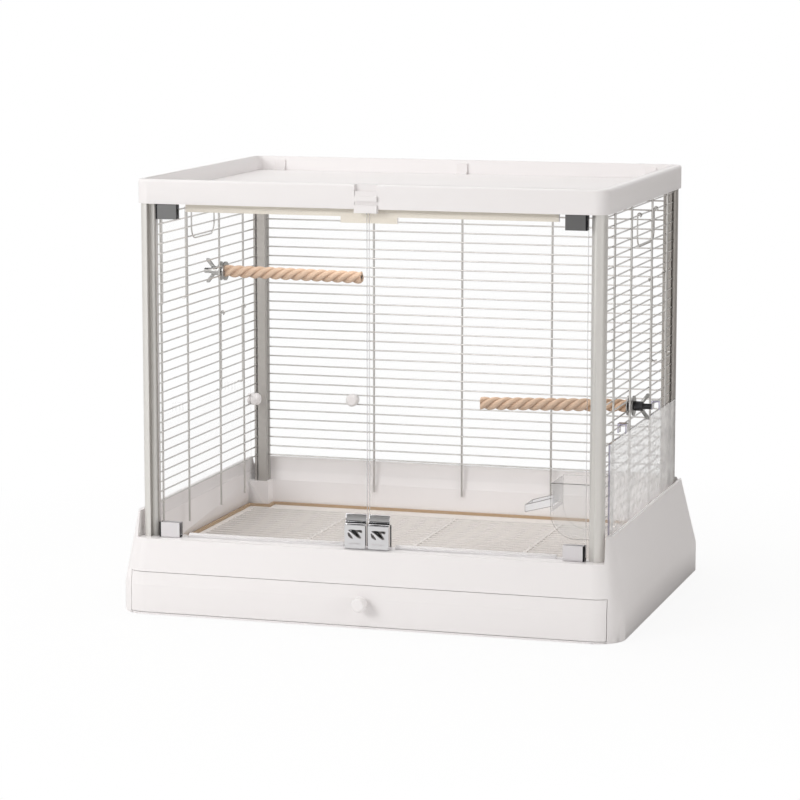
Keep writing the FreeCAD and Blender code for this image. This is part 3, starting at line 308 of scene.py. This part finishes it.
def solid_copy(name):
    """A merged copy of a CAD solid."""
    mesh = bmesh.new()
    mesh.from_mesh(nodes[name].data)
    bmesh.ops.remove_doubles(mesh, verts=mesh.verts, dist=MERGE)
    mesh.verts.index_update()
    return mesh


def plain_copy(name):
    """A merged copy of a CAD solid, with each flat side as one face."""
    mesh = solid_copy(name)
    bmesh.ops.dissolve_limit(mesh, angle_limit=FLAT, verts=mesh.verts, edges=mesh.edges)
    return mesh


def only(kind, geometry):
    """The vertices or edges among what an operator takes or makes."""
    return [item for item in geometry if isinstance(item, kind)]


def grow(mesh, faces, step):
    """Extrudes faces by a step."""
    grown = bmesh.ops.extrude_face_region(mesh, geom=faces)["geom"]
    bmesh.ops.translate(mesh, vec=step, verts=only(bmesh.types.BMVert, grown))


def round_off(mesh, edges, offset, segments, clamp=False):
    """Bevels edges, clamped where they would overlap if asked, and gives the new faces."""
    return bmesh.ops.bevel(mesh, geom=edges, offset=offset, segments=segments, affect="EDGES", profile=0.5,
                           material=-1, clamp_overlap=clamp)["faces"]


def soften(thing, crease=30):
    """Smooth shading on bends below the crease angle in degrees, with flat faces kept flat."""
    thing.data.shade_smooth()
    thing.data.set_sharp_from_angle(angle=math.radians(crease))
    even = thing.modifiers.new("even_normals", "WEIGHTED_NORMAL")
    even.keep_sharp = True


# Moulded and extruded pieces with true rounded corners
HEADER_FRONT = -179 * MM
HEADER_REAR = -160 * MM
NUT_HUB = 5.5 * MM
FLANK_FACING = 0.7
ROUNDED = ["base_shell", "roof_frame", "drawer_knob", "side_plug", "back_plug"]
ROUNDED += [f"{end}_{side}_post" for end in ("front", "rear") for side in SIDES]
ROUNDED += [f"{side}_{place}_washer" for side in SIDES for place in ("inner", "outer")]
ROUNDED += [f"{side}_{fitting}" for fitting in ("perch_rod", "wing_nut") for side in SIDES]

skins = {}
for name in ROUNDED:
    slot = slot_of[name]
    skins[name] = piece(f"{name}_skin", solid_copy(name), [materials[slot]], body_of[name], slot, name)
    soften(skins[name])


def second_finish(name, material, chosen):
    """Gives a second finish to the faces of a skin that a test chooses."""
    data = skins[name].data
    data.materials.append(material)
    for face in data.polygons:
        if chosen(face):
            face.material_index = 1


nut_low, nut_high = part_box("right_wing_nut")
nut_axis = (nut_low + nut_high) / 2
# Right rod: painted dark reflection
paint(skins["right_perch_rod"], right_steel_painted_dark)
# Rear posts: the greyer finish is painted shade
for side in SIDES:
    paint(skins[f"rear_{side}_post"], shaded_post)
# Right nut's hub: painted dark reflection
second_finish("right_wing_nut", right_steel_painted_dark, lambda face: (face.center - nut_axis).yz.length < NUT_HUB)
# Front left post's inner flank: the greyer finish is painted shade
second_finish("front_left_post", shaded_post, lambda face: face.normal.x > FLANK_FACING)
# The header strip's front faces carry the cream painted shade
second_finish("roof_frame", header_painted_shade_abs,
              lambda face: face.normal.y < -FACING and HEADER_FRONT < face.center.y < HEADER_REAR)


# Base's back: a thin web closes the slit that the skirt's hollow opens in the sloping wall
SLIT_FOOT = 40 * MM
SLIT_HEAD = 45.1 * MM
SLIT_REACH = 120 * MM
SLIT_STEEP = 0.1
SLIT_SLOPE = 0.6
WEB = 0.8 * MM


def rims_slit(edge):
    """Whether an edge of the base is on the slit's rim: at its height, at the back, by the sloping wall."""
    heights = [vert.co.z for vert in edge.verts]
    slopes = sorted(face.normal.z for face in edge.link_faces)
    at_height = SLIT_FOOT < min(heights) and max(heights) < SLIT_HEAD
    at_back = min(vert.co.y for vert in edge.verts) > SLIT_REACH
    return at_height and at_back and slopes[0] < SLIT_STEEP < slopes[-1] < SLIT_SLOPE


def base_web():
    """A web filled in between the slit's rims."""
    shell = solid_copy("base_shell")
    shell.normal_update()
    mesh = bmesh.new()
    spots = {}
    for edge in filter(rims_slit, shell.edges):
        for vert in edge.verts:
            if vert.index not in spots:
                spots[vert.index] = mesh.verts.new(vert.co)
        mesh.edges.new([spots[vert.index] for vert in edge.verts])
    shell.free()
    bmesh.ops.triangle_fill(mesh, edges=list(mesh.edges), use_beauty=True)
    grow(mesh, list(mesh.faces), (0, -WEB, 0))
    piece("base_back_web", mesh, [materials["white_plastic"]], "cage", "white_plastic")


base_web()


# Door clips: satin castings with a dark pad at the outer end and a painted dark reflection on the
# right-facing end
CLIP_PAD = 1.8 * MM


def clip(name, metal):
    """A clip casting whose outer end is a dark pad, and whose right-facing end faces carry a painted dark
    reflection.
    """
    low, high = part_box(name)
    outer = low.x + CLIP_PAD if low.x < 0 else high.x - CLIP_PAD
    mesh = solid_copy(name)
    bmesh.ops.bisect_plane(mesh, geom=[*mesh.verts, *mesh.edges, *mesh.faces], plane_co=(outer, 0, 0),
                           plane_no=(1, 0, 0))
    mesh.normal_update()
    for face in mesh.faces:
        beyond = abs(face.calc_center_median().x) > abs(outer) - TOUCH
        face.material_index = 1 if beyond or face.normal.x > FACING else 0
    piece(f"{name}_casting", mesh, [metal, clip_pad_and_reflection], body_of[name], "clip_metal", name)


for side in SIDES:
    clip(f"{side}_upper_clip", upper_clip_painted_reflection)
    clip(f"{side}_lower_clip", materials["clip_metal"])


# Clear sheets: faces, and polished edges with painted highlights and reflections
ACROSS = 0
DEEP = 1


def clear_sheet(name, face_axis, pane, edge, front_edge):
    """A clear sheet with finishes of its own on its faces, its edges and its front upright edge: the edge
    finishes are painted highlights and reflections.
    """
    mesh = plain_copy(name)
    for face in mesh.faces:
        at_front = 2 if face.normal.y < -FACING else 1
        face.material_index = 0 if abs(face.normal[face_axis]) > FACING else at_front
    thing = piece(f"{name}_sheet", mesh, [pane, edge, front_edge], body_of[name], "clear_acrylic", name)
    thing.visible_shadow = False


guard_finishes = {"left": (materials["clear_acrylic"], faint_edge, faint_edge),
                  "right": (guard_haze, cup_edge, violet_edge)}
for side in SIDES:
    clear_sheet(f"{side}_door_pane", DEEP, materials["clear_acrylic"], acrylic_edge, acrylic_edge)
    clear_sheet(f"{side}_splash_guard", ACROSS, *guard_finishes[side])


# Seed cup: clear walls with polished edges, painted dark as a painted reflection
CUP_EDGE = 0.7 * MM
CUP_LIP = 30 * MM
CUP_NEAR = 1.5 * MM


def seed_cup():
    """A clear cup with a hazy feeding lip, and edges with a painted dark reflection on the lip and at the
    front, and a painted grey one elsewhere.
    """
    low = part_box("seed_cup")[0]
    mesh = plain_copy("seed_cup")
    rims = [edge for edge in mesh.edges if edge.calc_face_angle(0) > SHARP and edge.is_convex]
    strips = round_off(mesh, rims, CUP_EDGE, segments=1, clamp=True)
    for face in mesh.faces:
        face.material_index = 3 if face.calc_center_median().x < low.x + CUP_LIP else 0
    for strip in strips:
        middle = strip.calc_center_median()
        strip.material_index = 1 if middle.x < low.x + CUP_LIP or middle.y < low.y + CUP_NEAR else 2
    thing = piece("clear_seed_cup", mesh, [cup_wall, cup_edge, cup_faint, cup_haze], "cage", "clear_acrylic",
                  "seed_cup")
    thing.visible_shadow = False


seed_cup()


# Rope perches
ROPE_STRANDS = 3
ROPE_LAY = 36 * MM
ROPE_STEP = 1.2 * MM
ROPE_DROOP = {"left": 2.5 * MM, "right": 4.5 * MM}
ROPE_CREASE = 50
STRAND_SIDES = 24
STRAND_SHARE = 0.59


def rope(side):
    """Three strands laid round each other along the perch, from the washer to the free end."""
    low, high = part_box(f"{side}_perch_rope")
    middle = (low + high) / 2
    radius = (high.z - low.z) / 2
    strand = radius * STRAND_SHARE
    spread = radius - strand
    length = high.x - low.x
    steps = round(length / ROPE_STEP)
    mesh = bmesh.new()
    lie = mesh.verts.layers.float_vector.new("strand")
    groove = mesh.verts.layers.float.new("groove")
    for number in range(ROPE_STRANDS):
        turn = math.tau * number / ROPE_STRANDS
        centre = Vector((low.x, middle.y + spread * math.cos(turn), middle.z + spread * math.sin(turn)))
        place = Matrix.Translation(centre) @ Matrix.Rotation(math.pi / 2, 4, "Y")
        ring = bmesh.ops.create_circle(mesh, segments=STRAND_SIDES, radius=strand, matrix=place)["verts"]
        start = list(dict.fromkeys(edge for vert in ring for edge in vert.link_edges))
        last = bmesh.ops.spin(mesh, geom=ring + start, cent=(low.x, middle.y, middle.z), axis=(1, 0, 0),
                              dvec=(length / steps, 0, 0), angle=-math.tau * length / ROPE_LAY, steps=steps)
        bmesh.ops.holes_fill(mesh, edges=only(bmesh.types.BMEdge, last["geom_last"]) + start)
    wall = high.x if side == "right" else low.x
    for vert in mesh.verts:
        offset = vert.co - Vector((vert.co.x, middle.y, middle.z))
        unlaid = Matrix.Rotation(math.tau * (vert.co.x - low.x) / ROPE_LAY, 3, "X") @ offset
        vert[lie] = (vert.co.x, unlaid.y, unlaid.z)
        vert[groove] = offset.length / radius
        vert.co.z -= ROPE_DROOP[side] * abs(vert.co.x - wall) / length
    thing = piece(f"{side}_twisted_rope", mesh, [materials["perch_rope"]], "cage", "perch_rope",
                  f"{side}_perch_rope")
    soften(thing, ROPE_CREASE)


for side in SIDES:
    rope(side)


# Chrome pulls
PULL_SKIN = 1.6 * MM
PULL_LIP = 25 * MM
PULL_SCOOP = 3.9 * MM
PULL_SCOOP_STEPS = 10
PULL_EDGE = 0.6 * MM
PULL_EDGE_STEPS = 3
PULL_LEAN = 0.75 * MM
PULL_CREASE = 40
PILLOW_MARGIN = 2.4 * MM
PILLOW_CUTS = 15
PILLOW_RISE = 1.25 * MM
PILLOW_ROOM = 1.5 * MM

# The pillow's slanting ripple: its height, its turns across and up, and how much stronger it gets upwards
PILLOW_RIPPLE = 0.2 * MM
RIPPLE_ACROSS = 6
RIPPLE_UP = 5
RIPPLE_GAIN = 2


def pull_body(low, high, pane_low, pane_high, front):
    """A pull's folded body: a profile drawn from the side and grown across, with a scoop above its lip."""
    skin = pane_low.y - PULL_SKIN
    lip = low.z + PULL_LIP
    spots = ((front, low.z), (front, lip), (skin, lip), (skin + PULL_LEAN, high.z), (pane_low.y, high.z),
             (pane_low.y, pane_low.z), (pane_high.y, pane_low.z), (pane_high.y, lip), (high.y, lip),
             (high.y, low.z))
    mesh = bmesh.new()
    profile = mesh.faces.new([mesh.verts.new((low.x, y, z)) for y, z in spots])
    grow(mesh, [profile], (high.x - low.x, 0, 0))
    bmesh.ops.recalc_face_normals(mesh, faces=mesh.faces)
    inner = [edge for edge in mesh.edges
             if all(abs(v.co.y - skin) < TOUCH and abs(v.co.z - lip) < TOUCH for v in edge.verts)]
    round_off(mesh, inner, PULL_SCOOP, PULL_SCOOP_STEPS)
    outer = [edge for edge in mesh.edges
             if edge.calc_face_angle(0) > SHARP and max(v.co.y for v in edge.verts) < pane_low.y - TOUCH]
    round_off(mesh, outer, PULL_EDGE, PULL_EDGE_STEPS)
    mesh.normal_update()
    return mesh


def raise_pillow(mesh, front):
    """Raises a rippled pillow on a pull's front plate."""
    plate = max((face for face in mesh.faces if abs(face.calc_center_median().y - front) < TOUCH),
                key=lambda face: face.calc_area())
    bmesh.ops.inset_individual(mesh, faces=[plate], thickness=PILLOW_MARGIN)
    middle = plate.calc_center_median()
    for vert in plate.verts:
        vert.co.z -= math.copysign(PILLOW_MARGIN, vert.co.z - middle.z)
    wide, tall = [max(abs((vert.co - middle)[axis]) for vert in plate.verts) for axis in (0, 2)]
    bmesh.ops.subdivide_edges(mesh, edges=list(plate.edges), cuts=PILLOW_CUTS, use_grid_fill=True)
    for vert in mesh.verts:
        across = (vert.co.x - middle.x) / wide
        up = (vert.co.z - middle.z) / tall
        if abs(vert.co.y - front) < TOUCH and abs(across) < 1 and abs(up) < 1:
            bulge = (1 - across ** 4) * (1 - up) * math.sqrt(1 + up)
            wave = math.sin(RIPPLE_ACROSS * across + RIPPLE_UP * up) * (1 + RIPPLE_GAIN * up)
            vert.co.y -= bulge * (PILLOW_RISE + PILLOW_RIPPLE * wave)


def pull(side):
    """A finger pull folded round the door's foot: scooped above its lip, with a raised pillow in front."""
    name = f"{side}_pull"
    low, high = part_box(name)
    front = low.y + PILLOW_ROOM
    mesh = pull_body(low, high, *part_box(f"{side}_door_pane"), front)
    raise_pillow(mesh, front)
    thing = piece(f"{side}_folded_pull", mesh, [materials["pull_chrome"]], body_of[name], "pull_chrome", name)
    soften(thing, PULL_CREASE)


for side in SIDES:
    pull(side)


# Studio floor: plain white paper that keeps the part's soft shadow
FLOOR_REACH = 6
SHADOW_NEAR = 0.3
SHADOW_FAR = 0.8
GLOW_SHARE = 0.9


def seen_straight(material):
    """The light path, and a node that is one for what the camera sees straight or through a clear sheet."""
    ray = node(material, "ShaderNodeLightPath")
    straight = node(material, "ShaderNodeMath", {"operation": "MAXIMUM"},
                    {0: (ray, "Is Camera Ray"), 1: (ray, "Is Transmission Ray")})
    return ray, straight


def backdrop_paper():
    """White backdrop paper: plain white to the camera, with the matt sheet's shadow showing near the part."""
    paper = bpy.data.materials.new("white_backdrop_paper")
    paper.use_nodes = True
    paper.node_tree.nodes.clear()
    matt = node(paper, "ShaderNodeBsdfDiffuse", Color=linear("#F4F4F4"))
    glow = node(paper, "ShaderNodeEmission", Color=linear("#FFFFFF"), Strength=1)
    straight = seen_straight(paper)[1]
    place = node(paper, "ShaderNodeTexCoord")
    reach = node(paper, "ShaderNodeVectorMath", {"operation": "LENGTH"}, {0: (place, "Object")})
    fade = node(paper, "ShaderNodeMapRange", links={"Value": (reach, "Value")}, From_Min=SHADOW_NEAR,
                From_Max=SHADOW_FAR, To_Min=GLOW_SHARE, To_Max=1)
    share = node(paper, "ShaderNodeMath", {"operation": "MULTIPLY"},
                 {0: (straight, "Value"), 1: (fade, "Result")})
    mix = node(paper, "ShaderNodeMixShader",
               links={0: (share, "Value"), 1: (matt, "BSDF"), 2: (glow, "Emission")})
    node(paper, "ShaderNodeOutputMaterial", links={"Surface": (mix, "Shader")})
    return paper


floor_mesh = bmesh.new()
bmesh.ops.create_grid(floor_mesh, x_segments=1, y_segments=1, size=FLOOR_REACH)
set_up("studio_floor", floor_mesh, backdrop_paper())


# Studio cards: felt sheets, hidden from the camera, for metal to mirror
black_felt = finish("black_felt", "#101010", roughness=0.95)[0]
grey_felt = finish("grey_felt", "#A3A09E", roughness=0.95)[0]


def card(name, place, width, height, turn, tilt, cloth):
    """A card at a place, in metres, turned about the vertical and tilted up from flat, in degrees."""
    turned = Matrix.Rotation(math.radians(turn), 4, "Z") @ Matrix.Rotation(math.radians(tilt), 4, "X")
    sized = Matrix.Diagonal((width, height, 1, 1))
    mesh = bmesh.new()
    bmesh.ops.create_grid(mesh, x_segments=1, y_segments=1, size=1 / 2,
                          matrix=Matrix.Translation(place) @ turned @ sized)
    thing = set_up(name, mesh, cloth)
    thing.visible_camera = False
    thing.visible_transmission = False
    return thing


card("dark_card", place=(-1.2, -4, 0.85), width=4, height=1.3, turn=0, tilt=90, cloth=black_felt)
card("horizon_card", place=(-1.2, -3.95, 0.33), width=4, height=0.62, turn=0, tilt=90, cloth=grey_felt)
card("side_card", place=(1.5, 0.5, 0.8), width=2.2, height=1.6, turn=90, tilt=90, cloth=grey_felt)
mirror_card = card("mirror_card", place=(-0.3, -0.25, 1.6), width=6, height=6.5, turn=0, tilt=0,
                   cloth=black_felt)
mirror_card.visible_diffuse = False
mirror_card.visible_shadow = False


# Surroundings: white to the eye and in mirrors, a dimmer warm light on the part
AMBIENT = 0.42
world = bpy.data.worlds.new("studio")
bpy.context.scene.world = world
world.use_nodes = True
world.node_tree.nodes.clear()
world_ray, world_straight = seen_straight(world)
shown = node(world, "ShaderNodeMath", {"operation": "MAXIMUM"},
             {0: (world_straight, "Value"), 1: (world_ray, "Is Glossy Ray")})
strength = node(world, "ShaderNodeMapRange", links={"Value": (shown, "Value")}, To_Min=AMBIENT, To_Max=1)
warmth = node(world, "ShaderNodeMix", {"data_type": "RGBA"}, {"Factor": (shown, "Value")})
warmth.inputs["A"].default_value = linear("#FFFBF7")
warmth.inputs["B"].default_value = linear("#FFFFFF")
background = node(world, "ShaderNodeBackground",
                  links={"Color": (warmth, "Result"), "Strength": (strength, "Result")})
node(world, "ShaderNodeOutputWorld", links={"Surface": (background, "Background")})


# Camera, as fitted to the photo
TARGET = Vector((-19.82, 0, 206.85)) * MM
AZIMUTH = math.radians(16.79)
ELEVATION = math.radians(8.57)
DISTANCE = 3253.38 * MM
FOCAL_PIXELS = 3019.56
PICTURE_PIXELS = 800
SENSOR = 36

view = bpy.data.cameras.new("camera")
view.sensor_width = SENSOR
view.lens = FOCAL_PIXELS * SENSOR / PICTURE_PIXELS
camera = bpy.data.objects.new("camera", view)
bpy.context.scene.collection.objects.link(camera)
sight = Vector((math.sin(AZIMUTH) * math.cos(ELEVATION), -math.cos(AZIMUTH) * math.cos(ELEVATION),
                math.sin(ELEVATION)))
camera.location = TARGET + DISTANCE * sight
camera.rotation_euler = (-sight).to_track_quat("-Z", "Y").to_euler()
bpy.context.scene.camera = camera
bpy.context.scene.view_settings.view_transform = "Standard"


# Lamps: three round the cage and a weak one under its roof
GROUND_MIDDLE = Vector((0, 0, 0))


def lamp(name, spot, aim, width, height, power):
    """A soft rectangular lamp at a spot, in metres, turned to a point, with its power in watts."""
    light = bpy.data.lights.new(name, "AREA")
    light.shape = "RECTANGLE"
    light.size = width
    light.size_y = height
    light.energy = power
    thing = bpy.data.objects.new(name, light)
    bpy.context.scene.collection.objects.link(thing)
    thing.location = spot
    thing.rotation_euler = (aim - Vector(spot)).to_track_quat("-Z", "Y").to_euler()
    thing.visible_camera = False


lamp("key_lamp", spot=(-1.45, -2.05, 1.15), aim=TARGET, width=1.3, height=1, power=27)
lamp("side_lamp", spot=(2.2, -1.2, 0.8), aim=TARGET, width=1, height=1, power=8)
lamp("top_lamp", spot=(-0.3, 0.2, 2.2), aim=TARGET, width=1.6, height=1.6, power=21)
lamp("cabin_lamp", spot=(0, -0.02, 0.425), aim=GROUND_MIDDLE, width=0.4, height=0.28, power=0.57)
